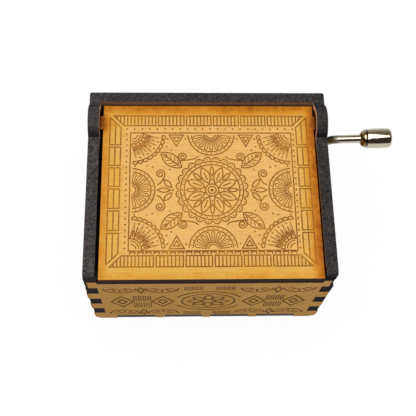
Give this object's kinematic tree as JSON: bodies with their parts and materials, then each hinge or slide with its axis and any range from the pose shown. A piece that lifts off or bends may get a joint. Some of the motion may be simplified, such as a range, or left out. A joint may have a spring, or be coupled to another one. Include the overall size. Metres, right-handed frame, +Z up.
{
  "type": "hand-cranked music box",
  "caption": "Small finger-jointed plywood box with a pivoting lid and a side crank that turns a worm-driven pinned drum under a steel comb.",
  "frame": {"origin": "centre of the case's underside", "axes": "+X towards the crank, -Y towards the front wall, +Z up"},
  "size_m": [0.0822, 0.053, 0.042],
  "materials": {
    "plywood": "laser-cut basswood plywood, charred cut edges",
    "zinc_casting": "zinc die casting, satin",
    "comb_steel": "ground spring steel",
    "lead": "dull lead",
    "plated_screw": "zinc plated",
    "brass": "turned, satin",
    "pin_steel": "drawn wire",
    "moulded_plastic": "moulded acetal, off white",
    "turned_steel": "turned, oiled",
    "bright_nickel": "bright nickel plate"
  },
  "bodies": {
    "case": {"front_wall": "plywood", "back_wall": "plywood", "left_wall": "plywood", "right_wall": "plywood", "bottom_board": "plywood", "bedplate": "zinc_casting", "drum_bearing_bracket": "zinc_casting", "bracket_screw": "plated_screw", "mounting_screws": "plated_screw", "comb": "comb_steel", "comb_weights": "lead", "comb_screws": "plated_screw"},
    "lid": {"lid": "plywood"},
    "crank": {"crank_rod": "bright_nickel", "crank_shaft": "turned_steel", "worm": "turned_steel"},
    "knob": {"crank_knob": "bright_nickel"},
    "drum": {"drum_sleeve": "brass", "drum_pins": "pin_steel", "drum_end_cap": "moulded_plastic", "drum_arbor": "pin_steel", "drive_wheel": "moulded_plastic"}
  },
  "joints": [
    {"name": "lid_hinge", "type": "hinge", "parent": "case", "child": "lid", "pos_m": [0, 0.01775, 0.0365], "axis": [-1, 0, 0], "range_deg": [0, 140]},
    {"name": "crank_spin", "type": "hinge", "parent": "case", "child": "crank", "pos_m": [0.032, 0.01965, 0.022], "axis": [1, 0, 0], "continuous": true},
    {"name": "drum_spin", "type": "hinge", "parent": "case", "child": "drum", "pos_m": [0.014, 0, 0.0136], "axis": [0, 1, 0], "continuous": true},
    {"name": "knob_spin", "type": "hinge", "parent": "crank", "child": "knob", "pos_m": [0.04158, 0.01394, 0.03609], "axis": [0.9996, 0.0267, 0.0113], "continuous": true}
  ],
  "couplings": [
    {"joint": "drum_spin", "follows": "crank_spin", "ratio": -0.05}
  ]
}
